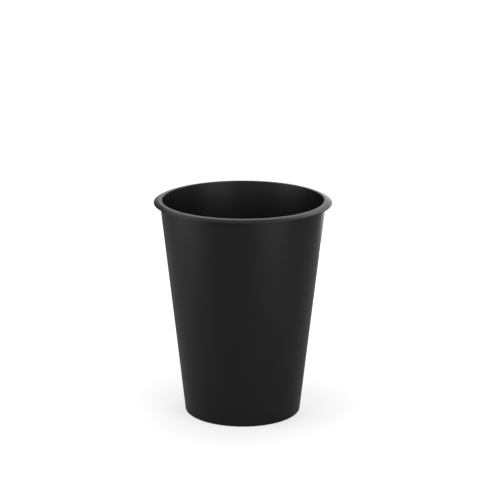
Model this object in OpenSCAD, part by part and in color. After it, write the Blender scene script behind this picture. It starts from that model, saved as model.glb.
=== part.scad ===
// Reusable vending cup: a thin tapered beaker moulded in one piece, with an out-turned lip,
// a foot ring round a recessed base, and ribs inside that carry the next cup of a stack.
// The origin is the centre of the base on the table, and +Z is up. Millimetres.

/* [Overall] */
// Diameter over the lip
rim_d = 70.3; // [68:0.1:76]
// Height from the table to the crest of the lip
cup_h = 86.8; // [75:0.1:105]
// Diameter of the side wall where it reaches the table
base_d = 46.2; // [42:0.1:50]

/* [Wall and floor] */
// Thickness of the side wall, square to it
wall_t = 0.9; // [0.7:0.05:1.3]
// Thickness of the floor
floor_t = 1; // [0.8:0.05:1.6]
// Inside rounding where the floor turns up into the wall
floor_round = 2; // [1:0.1:3]

/* [Lip] */
// How far the lip stands out from the wall
lip_reach = 2.45; // [2:0.05:3]
// Height of the lip, from its crest to its underside
lip_h = 1.25; // [1.1:0.05:1.8]
// Thickness of the lip at its outer edge
lip_edge_t = 0.36; // [0.3:0.02:0.6]
// Width from the inner wall to the corner, rounded off, where the level crest turns into the fall
crest_w = 1.4; // [1.1:0.05:1.7]
// Rounding of the drinking edge, from the inner wall to the crest
brim_round = 0.3; // [0.15:0.05:0.5]
// Wide rounding of that corner, which gives the lip its domed top
fall_round = 4; // [1:0.1:6]
// Rounding above and below the outer edge
edge_round = 0.15; // [0.08:0.01:0.16]
// Fillet in the corner between the wall and the lip's underside
neck_fillet = 0.3; // [0.1:0.05:0.8]

/* [Foot and base] */
// Width of the foot ring that the cup stands on
foot_w = 1.3; // [1.1:0.05:2]
// Rounding of the foot ring's outer edge
foot_round = 0.45; // [0.2:0.05:0.5]
// Rounding of the foot ring's inner edge
foot_inner_round = 0.25; // [0.1:0.05:0.4]
// Height of the recess inside the foot ring
recess_h = 1.8; // [1:0.1:3]
// Fillet where the foot ring meets the underside of the floor
recess_fillet = 0.5; // [0.2:0.1:0.8]
// Diameter of the shallow dish that keeps the gate mark off the table
dish_d = 9; // [6:0.5:14]
// Depth of that dish
dish_h = 0.3; // [0.15:0.05:0.4]
// Diameter of the gate mark in the middle of the dish
gate_d = 1.6; // [1:0.1:2.4]
// Height of the gate mark
gate_h = 0.2; // [0.1:0.05:0.4]

/* [Stacking] */
// Number of ribs inside, above the floor
ribs = 6; // [3:1:12]
// Thickness of a rib
rib_t = 0.9; // [0.7:0.05:1.4]
// Gap between the walls of two stacked cups
nest_gap = 0.12; // [0.08:0.01:0.25]
// How far a rib reaches in past the foot ring that rests on it
rib_lap = 0.5; // [0.2:0.05:1]
// Rounding of a rib's top inner corner
rib_round = 0.4; // [0.1:0.05:0.6]

/* [Mould] */
// Draft of the upright faces inside the foot ring and on the ribs, in degrees
draft = 3; // [1:0.5:5]

/* [Hidden] */
cup_colour = "#242424";
$fn = 180;
// Straight steps in each rounding of an outline
arc_steps = 8;

// The side wall is a cone from the table to the underside of the lip
rim_r = rim_d / 2;
base_r = base_d / 2;
neck_z = cup_h - lip_h;
taper = atan((rim_r - lip_reach - base_r) / neck_z);
wall_run = wall_t / cos(taper);
floor_z = recess_h + floor_t;

// A stacked cup sits higher by the step at which both walls are the nesting gap apart
stack_step = (wall_run + nest_gap) / tan(taper);
rib_in = base_r - foot_w - rib_lap;

// The lip's top: a rounded drinking edge, and a crest that bends down in one wide arc to a straight
// fall. The arc takes what the drinking edge leaves of the crest, where that is less than its rounding.
crest_z = cup_h;
fall_z = crest_z - (lip_h - lip_edge_t);
fall_x = inner_r(crest_z) + crest_w;
fall = atan((crest_z - fall_z) / (rim_r - fall_x));
crest_left = crest_w - brim_round * tan(45 - taper / 2);
crest_round = min(fall_round, crest_left / tan(fall / 2));

// Radius of the wall's outer and inner face at the height z
function outer_r(z) = base_r + z * tan(taper);
function inner_r(z) = outer_r(z) - wall_run;

function unit(v) = v / norm(v);

// Arc of radius r that rounds the corner b of the path a, b, c, as points from a's side to c's
function arc_at(a, b, c, r) =
    let (
        back = unit(a - b),
        on = unit(c - b),
        half = acos(back * on) / 2,
        centre = b + unit(back + on) * r / sin(half),
        start = b + back * r / tan(half) - centre,
        turn = (180 - 2 * half) * sign(cross(on, back))
    )
    [for (i = [0 : arc_steps])
        let (angle = atan2(start.y, start.x) + turn * i / arc_steps)
        centre + r * [cos(angle), sin(angle)]];

// Outline through corners given as [x, y, radius], where a radius of 0 leaves the corner sharp
function rounded(corners) =
    let (n = len(corners), at = [for (p = corners) [p.x, p.y]])
    [for (i = [0 : n - 1])
        each corners[i].z == 0
            ? [at[i]]
            : arc_at(at[(i + n - 1) % n], at[i], at[(i + 1) % n], corners[i].z)];

// Half of the cup's section, from the middle of the underside out, up and back down the inside
module section() {
    recess_in = base_r - foot_w;
    dish_z = recess_h + dish_h;
    polygon(rounded([
        [0, dish_z - gate_h, 0],
        [gate_d / 2, dish_z - gate_h, 0],
        [gate_d / 2, dish_z, 0],
        [dish_d / 2 - dish_h, dish_z, 0],
        [dish_d / 2, recess_h, 0],
        [recess_in - recess_h * tan(draft), recess_h, recess_fillet],
        [recess_in, 0, foot_inner_round],
        [base_r, 0, foot_round],
        [outer_r(neck_z), neck_z, neck_fillet],
        [rim_r, neck_z, edge_round],
        [rim_r, fall_z, edge_round],
        [fall_x, crest_z, crest_round],
        [inner_r(crest_z), crest_z, brim_round],
        [inner_r(floor_z), floor_z, floor_round],
        [0, floor_z, 0],
    ]));
}

// Wall, floor, lip and foot in one turned shell
module shell() {
    rotate_extrude() section();
}

// An upright rib rooted in the floor and the wall, whose level top carries the next cup's foot
module rib() {
    root_z = floor_z - floor_t / 2;
    rotate([90, 0, 0])
        linear_extrude(rib_t, center = true)
            polygon(rounded([
                [rib_in - (stack_step - root_z) * tan(draft), root_z, 0],
                [inner_r(root_z) + wall_run / 2, root_z, 0],
                [inner_r(stack_step) + wall_run / 2, stack_step, 0],
                [rib_in, stack_step, rib_round],
            ]));
}

module cup() {
    color(cup_colour) {
        shell();
        for (i = [0 : ribs - 1])
            rotate([0, 0, i * 360 / ribs]) rib();
    }
}

cup();
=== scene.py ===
"""Reusable vending cup: a black polypropylene beaker with an out-turned lip, on a white studio floor.

The cup is one turned surface with six stacking ribs inside, worked out with numpy in the frame of the
packed model. All lengths are in metres, +Z is up, and the camera looks along +Y.
"""

import math

import bpy
import numpy as np
from mathutils import Matrix, Vector


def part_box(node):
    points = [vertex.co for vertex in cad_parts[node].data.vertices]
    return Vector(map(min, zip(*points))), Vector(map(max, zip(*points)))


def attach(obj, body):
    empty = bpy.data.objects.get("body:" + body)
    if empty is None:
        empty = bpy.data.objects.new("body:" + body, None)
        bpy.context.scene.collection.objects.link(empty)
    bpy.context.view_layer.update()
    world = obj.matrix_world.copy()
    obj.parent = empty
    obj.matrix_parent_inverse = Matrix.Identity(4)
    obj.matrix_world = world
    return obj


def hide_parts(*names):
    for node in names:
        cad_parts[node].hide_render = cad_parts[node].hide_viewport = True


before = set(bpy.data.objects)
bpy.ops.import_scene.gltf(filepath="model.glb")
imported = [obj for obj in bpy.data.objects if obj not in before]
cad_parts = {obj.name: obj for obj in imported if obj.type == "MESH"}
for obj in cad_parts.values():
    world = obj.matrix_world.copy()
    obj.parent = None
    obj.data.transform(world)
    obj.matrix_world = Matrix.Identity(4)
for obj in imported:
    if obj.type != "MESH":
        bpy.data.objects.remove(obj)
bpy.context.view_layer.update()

bl_info = {
    "name": "Reusable Vending Cup",
    "version": (1, 0, 0),
    "blender": (4, 5, 0),
    "location": "View3D > Sidebar > Vending Cup",
    "description": "Builds a moulded vending cup and the studio it stands in",
    "category": "Add Mesh",
}

MM = 0.001
CUP_LOW, CUP_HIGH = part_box("cup")
# Straight steps in each rounding of an outline
ARC_STEPS = 8
# Half the width of the softened stretch at each side of a rib
RIB_SOFT = 0.12 * MM


class CupSizes(bpy.types.PropertyGroup):
    """The moulding's driving sizes."""

    rim_diameter: bpy.props.FloatProperty(
        name="Lip Diameter",
        description="Diameter over the lip",
        default=2 * CUP_HIGH.x,
        unit="LENGTH",
    )
    height: bpy.props.FloatProperty(
        name="Height",
        description="Height from the table to the crest of the lip",
        default=CUP_HIGH.z - CUP_LOW.z,
        unit="LENGTH",
    )
    base_diameter: bpy.props.FloatProperty(
        name="Base Diameter",
        description="Diameter of the side wall where it reaches the table",
        default=46.2 * MM,
        unit="LENGTH",
    )
    wall: bpy.props.FloatProperty(
        name="Wall", description="Thickness of the side wall", default=0.9 * MM, unit="LENGTH"
    )
    floor: bpy.props.FloatProperty(
        name="Floor", description="Thickness of the floor", default=1 * MM, unit="LENGTH"
    )
    floor_round: bpy.props.FloatProperty(
        name="Floor Rounding",
        description="Inside rounding where the floor turns up into the wall",
        default=2 * MM,
        unit="LENGTH",
    )
    lip_reach: bpy.props.FloatProperty(
        name="Lip Reach",
        description="How far the lip stands out from the wall",
        default=2.45 * MM,
        unit="LENGTH",
    )
    lip_height: bpy.props.FloatProperty(
        name="Lip Height",
        description="Height of the lip from its crest to its underside",
        default=1.25 * MM,
        unit="LENGTH",
    )
    lip_edge: bpy.props.FloatProperty(
        name="Lip Edge",
        description="Thickness of the lip at its outer edge",
        default=0.36 * MM,
        unit="LENGTH",
    )
    crest: bpy.props.FloatProperty(
        name="Crest",
        description="Width from the inner wall to the rounded-off corner where the crest starts to fall",
        default=1.4 * MM,
        unit="LENGTH",
    )
    brim_round: bpy.props.FloatProperty(
        name="Drinking Edge",
        description="Rounding from the inner wall to the crest",
        default=0.3 * MM,
        unit="LENGTH",
    )
    dome_round: bpy.props.FloatProperty(
        name="Dome",
        description="Wide rounding of the corner where the crest starts to fall",
        default=4 * MM,
        unit="LENGTH",
    )
    edge_round: bpy.props.FloatProperty(
        name="Edge Rounding",
        description="Rounding above and below the lip's outer edge",
        default=0.15 * MM,
        unit="LENGTH",
    )
    neck_fillet: bpy.props.FloatProperty(
        name="Neck Fillet",
        description="Fillet between the wall and the lip's underside",
        default=0.3 * MM,
        unit="LENGTH",
    )
    foot: bpy.props.FloatProperty(
        name="Foot Ring", description="Width of the foot ring", default=1.3 * MM, unit="LENGTH"
    )
    foot_round: bpy.props.FloatProperty(
        name="Foot Rounding",
        description="Rounding of the foot ring's outer edge",
        default=0.45 * MM,
        unit="LENGTH",
    )
    foot_inner_round: bpy.props.FloatProperty(
        name="Inner Foot Rounding",
        description="Rounding of the foot ring's inner edge",
        default=0.25 * MM,
        unit="LENGTH",
    )
    recess: bpy.props.FloatProperty(
        name="Recess",
        description="Height of the recess inside the foot ring",
        default=1.8 * MM,
        unit="LENGTH",
    )
    recess_fillet: bpy.props.FloatProperty(
        name="Recess Fillet",
        description="Fillet where the foot ring meets the floor's underside",
        default=0.5 * MM,
        unit="LENGTH",
    )
    dish_diameter: bpy.props.FloatProperty(
        name="Dish Diameter",
        description="Diameter of the shallow dish that holds the gate mark",
        default=9 * MM,
        unit="LENGTH",
    )
    dish_depth: bpy.props.FloatProperty(
        name="Dish Depth",
        description="Depth of that dish",
        default=0.3 * MM,
        unit="LENGTH",
    )
    gate_diameter: bpy.props.FloatProperty(
        name="Gate Diameter",
        description="Diameter of the gate mark in the middle of the dish",
        default=1.6 * MM,
        unit="LENGTH",
    )
    gate_height: bpy.props.FloatProperty(
        name="Gate Height",
        description="Height of the gate mark",
        default=0.2 * MM,
        unit="LENGTH",
    )
    ribs: bpy.props.IntProperty(
        name="Ribs", description="Number of stacking ribs inside", default=6, min=3, max=12
    )
    rib: bpy.props.FloatProperty(
        name="Rib", description="Thickness of a stacking rib", default=0.9 * MM, unit="LENGTH"
    )
    rib_lap: bpy.props.FloatProperty(
        name="Rib Lap",
        description="How far a rib reaches in past the foot ring that rests on it",
        default=0.5 * MM,
        unit="LENGTH",
    )
    rib_round: bpy.props.FloatProperty(
        name="Rib Rounding",
        description="Rounding of a rib's top inner corner",
        default=0.4 * MM,
        unit="LENGTH",
    )
    nest_gap: bpy.props.FloatProperty(
        name="Nesting Gap",
        description="Gap between the walls of two stacked cups",
        default=0.12 * MM,
        unit="LENGTH",
    )
    draft: bpy.props.FloatProperty(
        name="Draft",
        description="Draft of the upright faces inside the foot ring and on the ribs",
        default=math.radians(3),
        subtype="ANGLE",
    )


class CupFinish(bpy.types.PropertyGroup):
    """The plastic's colour and skin."""

    colour: bpy.props.StringProperty(
        name="Colour", description="Colour of the plastic, as sRGB hex", default="#181818"
    )
    roughness: bpy.props.FloatProperty(
        name="Roughness",
        description="Mean roughness of the satin skin",
        default=0.33,
        min=0,
        max=1,
        subtype="FACTOR",
    )
    specular: bpy.props.FloatProperty(
        name="Specular Level",
        description="Strength of the skin's mirror reflection, where 0.5 is the plain value",
        default=0.5,
        min=0,
        max=1,
        subtype="FACTOR",
    )
    grain: bpy.props.FloatProperty(
        name="Grain",
        description="Size of the fine grain that the mould's steel leaves on the skin",
        default=0.25 * MM,
        unit="LENGTH",
    )


class Studio(bpy.types.PropertyGroup):
    """The camera, floor and light."""

    lens: bpy.props.FloatProperty(
        name="Lens",
        description="Focal length in millimetres, for a sensor 36 mm wide",
        default=133.0,
        unit="CAMERA",
    )
    distance: bpy.props.FloatProperty(
        name="Distance",
        description="Distance from the camera to the point that it aims at",
        default=0.7332,
        subtype="DISTANCE",
    )
    pitch: bpy.props.FloatProperty(
        name="Pitch",
        description="How far the camera looks down",
        default=math.radians(15.03),
        subtype="ANGLE",
    )
    roll: bpy.props.FloatProperty(
        name="Roll",
        description="Turn of the camera about its line of sight",
        default=math.radians(0.157),
        subtype="ANGLE",
    )
    aim: bpy.props.FloatVectorProperty(
        name="Aim",
        description="Point on the optical axis beside the cup's own axis",
        default=(2.84 * MM, 0, 66.03 * MM),
        subtype="XYZ",
    )
    floor_colour: bpy.props.StringProperty(
        name="Floor Colour", description="Colour of the floor, as sRGB hex", default="#b8b8b8"
    )
    seen_floor_colour: bpy.props.StringProperty(
        name="Seen Floor Colour",
        description="Colour of the floor where the camera sees it, as sRGB hex",
        default="#e8e8e8",
    )
    floor_lift: bpy.props.FloatProperty(
        name="Floor Lift",
        description="White added to the floor that the camera sees",
        default=0.585,
        min=0,
    )
    # The floor is this much less white round the cup than far from it: a painted shadow, on top of the
    # lamps' real one
    painted_shadow_depth: bpy.props.FloatProperty(
        name="Far Lift",
        description="White added on top of the floor lift away from the cup, up to a pure white",
        default=0.26,
        min=0,
    )
    floor_glow: bpy.props.FloatProperty(
        name="Floor Glow",
        description="White added to the floor that shiny surfaces mirror",
        default=0.055,
        min=0,
    )
    ambient: bpy.props.FloatProperty(
        name="Ambient",
        description="Strength of the white surroundings as a light",
        default=0.25,
        min=0,
    )


def linear(hex_colour):
    """Turns an sRGB hex colour into a linear RGBA colour, by that standard's two-part curve."""
    parts = np.array([int(hex_colour[i : i + 2], 16) for i in (1, 3, 5)]) / 255
    low = parts / 12.92
    high = ((parts + 0.055) / 1.055) ** 2.4
    return (*np.where(parts <= 0.04045, low, high), 1.0)


def add_node(tree, kind, inputs=None, **settings):
    """Adds a node, sets its options, and fills its inputs with constants or with other nodes' outputs."""
    made = tree.nodes.new(kind)
    for option, value in settings.items():
        setattr(made, option, value)
    for socket, value in (inputs or {}).items():
        if isinstance(value, bpy.types.NodeSocket):
            tree.links.new(value, made.inputs[socket])
        else:
            made.inputs[socket].default_value = value
    return made


def moulded_polypropylene(finish):
    """Black polypropylene from a fine-blasted mould.

    The eye sees a deep, even black with a soft satin sheen. The skin has a very fine grain, drawn a
    little coarser than real so that it shows, and the sheen wanders faintly where the melt has flowed.
    """
    material = bpy.data.materials.new("moulded_black_polypropylene")
    material.use_nodes = True
    tree = material.node_tree
    tree.nodes.clear()
    flow_size, wander = 14 * MM, 0.015
    # Nearly all of the noise lies between these two values
    noise_low, noise_high = 0.3, 0.7
    grain_depth, grain_strength = 0.01 * MM, 0.12
    polypropylene_ior = 1.49
    place = add_node(tree, "ShaderNodeTexCoord").outputs["Object"]
    flow = add_node(
        tree,
        "ShaderNodeTexNoise",
        {"Vector": place, "Scale": 1 / flow_size, "Detail": 2.0, "Roughness": 0.5},
    ).outputs["Fac"]
    grain = add_node(
        tree,
        "ShaderNodeTexNoise",
        {"Vector": place, "Scale": 1 / finish.grain, "Detail": 2.0, "Roughness": 0.6},
    ).outputs["Fac"]
    sheen = add_node(
        tree,
        "ShaderNodeMapRange",
        {
            "Value": flow,
            "From Min": noise_low,
            "From Max": noise_high,
            "To Min": finish.roughness - wander,
            "To Max": finish.roughness + wander,
        },
    ).outputs["Result"]
    bump = add_node(
        tree,
        "ShaderNodeBump",
        {"Height": grain, "Strength": grain_strength, "Distance": grain_depth},
    ).outputs["Normal"]
    skin = add_node(
        tree,
        "ShaderNodeBsdfPrincipled",
        {
            "Base Color": linear(finish.colour),
            "IOR": polypropylene_ior,
            "Specular IOR Level": finish.specular,
            "Roughness": sheen,
            "Normal": bump,
        },
    )
    add_node(tree, "ShaderNodeOutputMaterial", {"Surface": skin.outputs["BSDF"]})
    return material


def unit(vector):
    """A vector of length one in the same direction."""
    return vector / np.linalg.norm(vector)


def arc_at(before, corner, after, radius):
    """Rounds a corner of a path with an arc.

    The arc's centre lies on the corner's bisector, its radius over the sine of half the angle away, and
    the points run from one tangent point to the other in equal turns.
    """
    back, on = unit(before - corner), unit(after - corner)
    half = math.acos(float(np.clip(back @ on, -1, 1))) / 2
    centre = corner + unit(back + on) * radius / math.sin(half)
    start = corner + back * radius / math.tan(half) - centre
    turn = math.copysign(math.pi - 2 * half, on[0] * back[1] - on[1] * back[0])
    angles = math.atan2(start[1], start[0]) + np.linspace(0, turn, ARC_STEPS + 1)
    return centre + radius * np.column_stack([np.cos(angles), np.sin(angles)])


def straight(start, end, spacing, guard):
    """Points between two ends of a straight stretch.

    The first and last lie one guard from the ends, to keep the shading of a long face off the rounding
    beside it, and the others share the rest in equal steps of at most one spacing. A stretch shorter
    than three guards gets none.
    """
    length = np.linalg.norm(end - start)
    if length < 3 * guard:
        return np.empty((0, 2))
    count = max(2, math.ceil((length - 2 * guard) / spacing) + 1)
    along = np.linspace(guard, length - guard, count) / length
    return start + along[:, None] * (end - start)


def rounded_path(corners, spacing=6 * MM, guard=0.12 * MM):
    """An open path through corners of (x, z, radius).

    Each corner with a radius becomes an arc, and each straight stretch gets points along it.
    """
    corners = np.asarray(corners, float)
    points = corners[:, :2]
    bends = [points[:1]]
    for i in range(1, len(corners) - 1):
        if corners[i, 2] > 0:
            bends.append(arc_at(points[i - 1], points[i], points[i + 1], corners[i, 2]))
        else:
            bends.append(points[i : i + 1])
    bends.append(points[-1:])
    path = [bends[0]]
    for before, after in zip(bends, bends[1:]):
        path += [straight(before[-1], after[0], spacing, guard), after]
    return np.concatenate(path)


def resampled(path, count):
    """The path as a given number of points, equally spaced along its length."""
    along = np.concatenate([[0], np.cumsum(np.linalg.norm(np.diff(path, axis=0), axis=1))])
    at = np.linspace(0, along[-1], count)
    return np.column_stack([np.interp(at, along, path[:, axis]) for axis in (0, 1)])


class Section:
    """The cup's half section, as radius and height, worked out from its driving sizes.

    The plain wall ends a little above the ribs, and the plain floor a little inside them. Between the
    two, the section follows either the wall's foot or a rib.
    """

    def __init__(self, sizes):
        above_ribs, inside_ribs = 1 * MM, 2 * MM
        self.sizes = sizes
        self.rim = sizes.rim_diameter / 2
        self.top = sizes.height
        self.base = sizes.base_diameter / 2
        self.neck = sizes.height - sizes.lip_height
        self.slope = (self.rim - sizes.lip_reach - self.base) / self.neck
        # The wall's thickness, measured level
        self.run = sizes.wall * math.hypot(1, self.slope)
        self.floor = sizes.recess + sizes.floor
        # How much higher the next cup of a stack stands, which is where the ribs end
        self.step = (self.run + sizes.nest_gap) / self.slope
        self.rib_in = self.base - sizes.foot - sizes.rib_lap
        self.wall_end = (self.inner(self.step + above_ribs), self.step + above_ribs, 0)
        self.floor_end = (self.rib_in - inside_ribs, self.floor, 0)

    def outer(self, height):
        """Radius of the wall's outer face: a cone."""
        return self.base + height * self.slope

    def inner(self, height):
        """Radius of the wall's inner face."""
        return self.outer(height) - self.run

    def below_and_outside(self):
        """From the middle of the underside over the foot, up the wall and over the lip to the inside."""
        sizes = self.sizes
        recess_in = self.base - sizes.foot
        recess_top_in = recess_in - sizes.recess * math.tan(sizes.draft)
        dish, gate = sizes.dish_diameter / 2, sizes.gate_diameter / 2
        dish_top = sizes.recess + sizes.dish_depth
        # Small enough to look sharp, and there only to catch a thin line of light
        gate_break, dish_break = 0.06 * MM, 0.15 * MM
        return rounded_path(
            [
                (0, dish_top - sizes.gate_height, 0),
                (gate, dish_top - sizes.gate_height, gate_break),
                (gate, dish_top, gate_break),
                (dish - sizes.dish_depth, dish_top, dish_break),
                (dish, sizes.recess, dish_break),
                (recess_top_in, sizes.recess, sizes.recess_fillet),
                (recess_in, 0, sizes.foot_inner_round),
                (self.base, 0, sizes.foot_round),
                (self.outer(self.neck), self.neck, sizes.neck_fillet),
                (self.rim, self.neck, sizes.edge_round),
                (self.rim, self.neck + sizes.lip_edge, sizes.edge_round),
                (self.inner(self.top) + sizes.crest, self.top, sizes.dome_round),
                (self.inner(self.top), self.top, sizes.brim_round),
                self.wall_end,
            ]
        )

    def wall_foot(self):
        """The inner wall's last stretch, round into the floor."""
        turn = (self.inner(self.floor), self.floor, self.sizes.floor_round)
        return rounded_path([self.wall_end, turn, self.floor_end], spacing=0.6 * MM)

    def rib_edge(self):
        """The same stretch over a rib: down the wall, in along its level top, and down its inner edge."""
        root_in = self.rib_in - (self.step - self.floor) * math.tan(self.sizes.draft)
        root_fillet, foot_fillet = 0.15 * MM, 0.3 * MM
        return rounded_path(
            [
                self.wall_end,
                (self.inner(self.step), self.step, root_fillet),
                (self.rib_in, self.step, self.sizes.rib_round),
                (root_in, self.floor, foot_fillet),
                self.floor_end,
            ],
            spacing=0.8 * MM,
        )

    def floor_top(self):
        """The floor from the foot of the ribs to its middle."""
        return rounded_path([self.floor_end, (0, self.floor, 0)])


def from_rib(azimuths, pitch):
    """Each azimuth's turn from the nearest rib. A rib stands at every whole number of pitches."""
    return (azimuths + pitch / 2) % pitch - pitch / 2


def rib_columns(sizes, radius):
    """Azimuths of the surface's columns: one a degree, and a close set at each rib.

    A close set has one column at the rib's middle and equally spaced ones across each of its softened
    sides. They lie at tangential distances from the rib's middle plane, turned into degrees at the given
    radius. The whole degrees among them, or closer to them than the least gap, are left out.
    """
    side_columns, least_gap = 6, 0.4
    pitch = 360 / sizes.ribs
    side = np.linspace(sizes.rib / 2 - RIB_SOFT, sizes.rib / 2 + RIB_SOFT, side_columns)
    close = np.degrees(np.arcsin(np.concatenate([-side[::-1], [0], side]) / radius))
    whole = np.arange(360.0)
    free = whole[np.abs(from_rib(whole, pitch)) > close.max() + least_gap]
    dense = (close[None, :] + pitch * np.arange(sizes.ribs)[:, None]).ravel() % 360
    return np.radians(np.sort(np.concatenate([free, dense])))


def rib_share(columns, sizes, radius):
    """How far each column follows the rib's outline: 1 on a rib, 0 on the wall.

    Between the two is a smooth step, the cubic 3t^2 - 2t^3, where t is the share of the softened side
    that lies outside the column, measured along the tangent at the given radius.
    """
    across = np.abs(radius * np.sin(from_rib(columns, 2 * math.pi / sizes.ribs)))
    t = np.clip((sizes.rib / 2 + RIB_SOFT - across) / (2 * RIB_SOFT), 0, 1)
    return t * t * (3 - 2 * t)


def turned_surface(columns, plain, ribbed, share):
    """A closed surface of revolution whose outline changes with the azimuth.

    The point at row i and column j is the plain outline's point i moved toward the ribbed outline's by
    column j's share, then turned about Z by column j's azimuth. The first and last rows lie on the axis
    and close to one point each.
    """
    outline = plain[:, None, :] + share[None, :, None] * (ribbed - plain)[:, None, :]
    radius, height = outline[1:-1, :, 0], outline[1:-1, :, 1]
    ring = np.stack([radius * np.cos(columns), radius * np.sin(columns), height], axis=-1)
    poles = np.array([[0, 0, plain[0, 1]], [0, 0, plain[-1, 1]]])
    vertices = np.concatenate([ring.reshape(-1, 3), poles])
    rows, count = radius.shape
    index = np.arange(rows * count).reshape(rows, count)
    across = np.roll(index, -1, axis=1)
    quads = np.stack([index[:-1], across[:-1], across[1:], index[1:]], axis=-1).reshape(-1, 4)
    first, last = rows * count, rows * count + 1
    under = np.column_stack([across[0], index[0], np.full(count, first)])
    inside = np.column_stack([index[-1], across[-1], np.full(count, last)])
    return vertices, quads.tolist() + under.tolist() + inside.tolist()


def cup_surface(sizes):
    """The whole moulding as one closed surface, from the plain outline and the one over a rib."""
    section = Section(sizes)
    outside, middle = section.below_and_outside(), section.floor_top()
    rib_edge = section.rib_edge()
    wall_foot = resampled(section.wall_foot(), len(rib_edge))
    plain = np.concatenate([outside, wall_foot[1:], middle[1:]])
    ribbed = np.concatenate([outside, rib_edge[1:], middle[1:]])
    columns = rib_columns(sizes, section.rib_in)
    return turned_surface(columns, plain, ribbed, rib_share(columns, sizes, section.rib_in))


class VENDINGCUP_OT_cup(bpy.types.Operator):
    """Make the moulded cup"""

    bl_idname = "vending_cup.cup"
    bl_label = "Cup"

    def execute(self, context):
        scene = context.scene
        vertices, faces = cup_surface(scene.vending_cup_sizes)
        mesh = bpy.data.meshes.new("moulded_cup")
        mesh.from_pydata(vertices, [], faces)
        mesh.validate()
        mesh.shade_smooth()
        mesh.materials.append(moulded_polypropylene(scene.vending_cup_finish))
        cup = bpy.data.objects.new("moulded_cup", mesh)
        scene.collection.objects.link(cup)
        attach(cup, "root")
        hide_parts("cup")
        return {"FINISHED"}


def ray_kinds(tree):
    """Two outputs: 1 on rays from the camera, and 1 on rays that a shiny or clear surface sends on."""
    path = add_node(tree, "ShaderNodeLightPath").outputs
    shiny = add_node(
        tree,
        "ShaderNodeMath",
        {0: path["Is Glossy Ray"], 1: path["Is Transmission Ray"]},
        operation="MAXIMUM",
    ).outputs["Value"]
    return path["Is Camera Ray"], shiny


def mirrored_white(tree):
    """What shiny surfaces see of the surroundings.

    It is white behind the cup and a little less on the camera's side. It falls to a grey ceiling between
    two heights of the ray, and to a black card behind on the left between two angles from its middle.
    The values in y and z are parts of the ray's direction, whose length is one. The card's turn is an
    azimuth, with 0 on the camera's side.
    """
    front, ceiling, card = 0.8, 0.34, 0.05
    front_y, back_y = -0.5, 0.5
    wall_z, ceiling_z = 0.6, 0.82
    card_turn, card_rise = math.radians(224.5), math.radians(14)
    card_edge, card_soft_edge = math.radians(29), math.radians(36)
    toward = add_node(tree, "ShaderNodeTexCoord").outputs["Generated"]
    parts = add_node(tree, "ShaderNodeSeparateXYZ", {"Vector": toward}).outputs
    walls = add_node(
        tree,
        "ShaderNodeMapRange",
        {"Value": parts["Y"], "From Min": front_y, "From Max": back_y, "To Min": front, "To Max": 1.0},
    ).outputs["Result"]
    room = add_node(
        tree,
        "ShaderNodeMapRange",
        {
            "Value": parts["Z"],
            "From Min": wall_z,
            "From Max": ceiling_z,
            "To Min": walls,
            "To Max": ceiling,
        },
        interpolation_type="SMOOTHSTEP",
    ).outputs["Result"]
    middle = (
        math.sin(card_turn) * math.cos(card_rise),
        -math.cos(card_turn) * math.cos(card_rise),
        math.sin(card_rise),
    )
    nearness = add_node(
        tree, "ShaderNodeVectorMath", {0: toward, 1: middle}, operation="DOT_PRODUCT"
    ).outputs["Value"]
    share = add_node(
        tree,
        "ShaderNodeMapRange",
        {
            "Value": nearness,
            "From Min": math.cos(card_soft_edge),
            "From Max": math.cos(card_edge),
            "To Min": 1.0,
            "To Max": card,
        },
        interpolation_type="SMOOTHSTEP",
    ).outputs["Result"]
    return add_node(tree, "ShaderNodeMath", {0: room, 1: share}, operation="MULTIPLY").outputs["Value"]


def white_surroundings(scene, ambient):
    """A world that the camera sees as white, and that lights matt surfaces at the ambient level."""
    world = bpy.data.worlds.new("white_surroundings")
    scene.world = world
    world.use_nodes = True
    tree = world.node_tree
    tree.nodes.clear()
    seen, shiny = ray_kinds(tree)
    unseen_strength = add_node(
        tree,
        "ShaderNodeMapRange",
        {"Value": shiny, "To Min": ambient, "To Max": mirrored_white(tree)},
    ).outputs["Result"]
    strength = add_node(
        tree, "ShaderNodeMapRange", {"Value": seen, "To Min": unseen_strength, "To Max": 1.0}
    ).outputs["Result"]
    sky = add_node(tree, "ShaderNodeBackground", {"Color": (1, 1, 1, 1), "Strength": strength})
    add_node(tree, "ShaderNodeOutputWorld", {"Surface": sky.outputs["Background"]})


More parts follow.
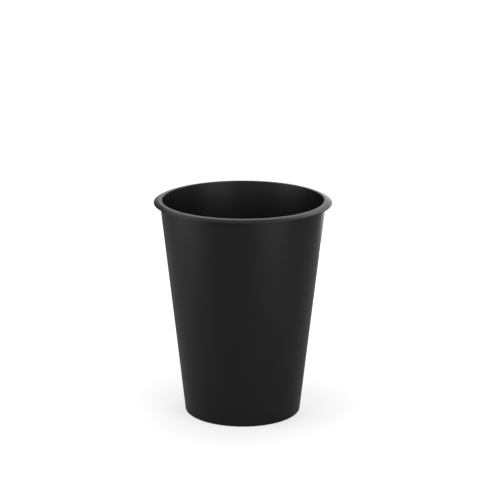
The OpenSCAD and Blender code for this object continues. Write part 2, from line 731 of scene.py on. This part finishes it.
def paper_floor(studio):
    """Matt studio paper that the camera sees as white, with the cup's soft shadow on it.

    The camera sees the lamps' light on a paler paper, which holds the cup's real shadow, and white on top
    of it, which grows in a straight line with the distance from the middle of the shadow, up to a pure
    white. So the white is least round the cup, where it paints a soft shadow on top of the real one.
    """
    # The added white is least within the core and grows out to the end: a painted shadow round the cup
    painted_shadow_middle, painted_shadow_core, painted_shadow_end = (-3 * MM, -2 * MM, 0), 20 * MM, 92 * MM
    material = bpy.data.materials.new("matt_studio_paper")
    material.use_nodes = True
    tree = material.node_tree
    tree.nodes.clear()
    seen, shiny = ray_kinds(tree)
    # Inputs 6 and 7 and output 2 are the colours, which share their names with other sockets
    colour = add_node(
        tree,
        "ShaderNodeMix",
        {0: seen, 6: linear(studio.floor_colour), 7: linear(studio.seen_floor_colour)},
        data_type="RGBA",
    ).outputs[2]
    glow = add_node(
        tree, "ShaderNodeMath", {0: shiny, 1: studio.floor_glow}, operation="MULTIPLY"
    ).outputs["Value"]
    place = add_node(tree, "ShaderNodeTexCoord").outputs["Object"]
    away = add_node(
        tree, "ShaderNodeVectorMath", {0: place, 1: painted_shadow_middle}, operation="DISTANCE"
    ).outputs["Value"]
    # Painted shadow: less added white near the cup, on top of the lamps' real shadow on the paper
    white = add_node(
        tree,
        "ShaderNodeMapRange",
        {
            "Value": away,
            "From Min": painted_shadow_core,
            "From Max": painted_shadow_end,
            "To Min": studio.floor_lift,
            "To Max": studio.floor_lift + studio.painted_shadow_depth,
        },
    ).outputs["Result"]
    added = add_node(
        tree, "ShaderNodeMath", {0: seen, 1: white, 2: glow}, operation="MULTIPLY_ADD"
    ).outputs["Value"]
    paper = add_node(tree, "ShaderNodeBsdfDiffuse", {"Color": colour}).outputs["BSDF"]
    lift = add_node(
        tree, "ShaderNodeEmission", {"Color": (1, 1, 1, 1), "Strength": added}
    ).outputs["Emission"]
    both = add_node(tree, "ShaderNodeAddShader", {0: paper, 1: lift}).outputs["Shader"]
    add_node(tree, "ShaderNodeOutputMaterial", {"Surface": both})
    return material


def round_floor(scene, studio, radius=4.0, sides=96):
    """A flat disc: points at equal turns on one circle about the cup's axis."""
    turn = np.linspace(0, 2 * math.pi, sides, endpoint=False)
    edge = np.column_stack([radius * np.cos(turn), radius * np.sin(turn), np.zeros(sides)])
    mesh = bpy.data.meshes.new("floor")
    mesh.from_pydata(edge, [], [list(range(sides))])
    mesh.materials.append(paper_floor(studio))
    floor = bpy.data.objects.new("floor", mesh)
    scene.collection.objects.link(floor)


def softbox(scene, name, azimuth, distance, width, height, radiance, low=0.0, lean=0.0):
    """A rectangular lamp that faces the cup's axis.

    The azimuth is in degrees, with 0 on the camera's side and 90 on the right. The lamp's middle lies
    half its height above low, and lean turns its face down by so many degrees. Its power is the radiance
    times the area times pi.
    """
    lamp = bpy.data.lights.new(name, "AREA")
    lamp.shape = "RECTANGLE"
    lamp.size, lamp.size_y = width, height
    lamp.energy = radiance * width * height * math.pi
    turn = math.radians(azimuth)
    centre = Vector((distance * math.sin(turn), -distance * math.cos(turn), low + height / 2))
    face = Matrix.Rotation(turn, 4, "Z") @ Matrix.Rotation(math.radians(90 - lean), 4, "X")
    box = bpy.data.objects.new(name, lamp)
    box.matrix_world = Matrix.Translation(centre) @ face
    box.visible_camera = False
    scene.collection.objects.link(box)


def studio_lamps(scene):
    """Two softboxes light the sides, a low one the right edge, and a high one behind the lip's crest."""
    near = 0.26
    softbox(scene, "right_front", azimuth=41, distance=near, width=0.2, height=0.32, radiance=1.2)
    softbox(scene, "left_side", azimuth=-76, distance=near, width=0.22, height=0.32, radiance=1.15)
    softbox(scene, "right_back", azimuth=157, distance=near, width=0.14, height=0.12, radiance=1.3)
    softbox(
        scene,
        "top_back",
        azimuth=180,
        distance=0.3,
        width=0.4,
        height=0.1,
        radiance=1.1,
        low=0.3,
        lean=42,
    )


def camera(scene, studio):
    """The camera, at a distance from its aim, looking down and slightly rolled."""
    data = bpy.data.cameras.new("camera")
    data.lens = studio.lens
    turned = Matrix.Rotation(math.pi / 2 - studio.pitch, 4, "X") @ Matrix.Rotation(studio.roll, 4, "Z")
    place = Vector(studio.aim) + studio.distance * Vector(
        (0, -math.cos(studio.pitch), math.sin(studio.pitch))
    )
    made = bpy.data.objects.new("camera", data)
    made.matrix_world = Matrix.Translation(place) @ turned
    scene.collection.objects.link(made)
    scene.camera = made


class VENDINGCUP_OT_stage(bpy.types.Operator):
    """Set up the floor, the lamps, the surroundings and the camera"""

    bl_idname = "vending_cup.stage"
    bl_label = "Stage"

    def execute(self, context):
        scene = context.scene
        studio = scene.vending_cup_studio
        scene.view_settings.view_transform = "Standard"
        white_surroundings(scene, studio.ambient)
        round_floor(scene, studio)
        studio_lamps(scene)
        camera(scene, studio)
        return {"FINISHED"}


class VENDINGCUP_PT_panel(bpy.types.Panel):
    """The cup and its stage in the 3D view's sidebar"""

    bl_label = "Vending Cup"
    bl_space_type = "VIEW_3D"
    bl_region_type = "UI"
    bl_category = "Vending Cup"

    def draw(self, context):
        layout = self.layout
        for operator in OPERATORS:
            layout.operator(operator.bl_idname)
        for name, group in SETTINGS.items():
            layout.label(text=group.__doc__)
            settings = getattr(context.scene, name)
            for prop in group.__annotations__:
                layout.prop(settings, prop)


OPERATORS = (VENDINGCUP_OT_cup, VENDINGCUP_OT_stage)
SETTINGS = {
    "vending_cup_sizes": CupSizes,
    "vending_cup_finish": CupFinish,
    "vending_cup_studio": Studio,
}
CLASSES = (*SETTINGS.values(), *OPERATORS, VENDINGCUP_PT_panel)


def register():
    for cls in CLASSES:
        bpy.utils.register_class(cls)
    for name, group in SETTINGS.items():
        setattr(bpy.types.Scene, name, bpy.props.PointerProperty(type=group))


def unregister():
    for name in SETTINGS:
        delattr(bpy.types.Scene, name)
    for cls in reversed(CLASSES):
        bpy.utils.unregister_class(cls)


def main():
    register()
    bpy.ops.vending_cup.cup()
    bpy.ops.vending_cup.stage()


if __name__ == "__main__":
    main()
